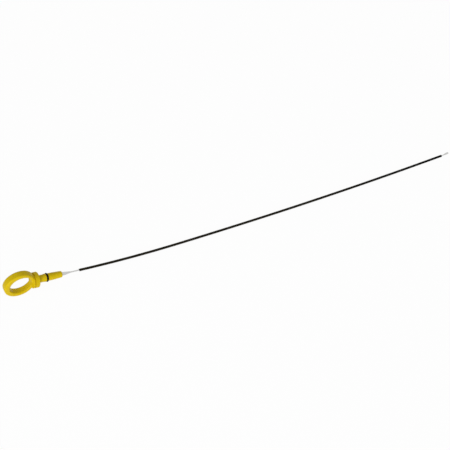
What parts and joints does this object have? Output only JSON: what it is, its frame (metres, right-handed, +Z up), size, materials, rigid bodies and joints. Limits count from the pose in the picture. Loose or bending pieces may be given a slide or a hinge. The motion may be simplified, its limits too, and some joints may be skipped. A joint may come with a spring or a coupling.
{
  "type": "oil dipstick",
  "caption": "Engine oil dipstick: moulded finger ring handle with grooved collar, sealed stub and a long wound wire rod, lying at rest.",
  "frame": {"origin": "centre of the finger ring's bore", "axes": "+Y along the finger ring's axis, +X from the ring towards the rod's tip, +Z up from the ground it lies on"},
  "size_m": [0.6763, 0.0242, 0.0383],
  "materials": {
    "handle": "satin yellow moulding",
    "o_ring": "black rubber",
    "core_wire": "bright drawn steel",
    "wound_sheath": "dark oxide"
  },
  "bodies": {
    "root": {"handle": "handle", "o_ring": "o_ring", "core_wire": "core_wire", "wound_sheath": "wound_sheath"}
  },
  "joints": []
}
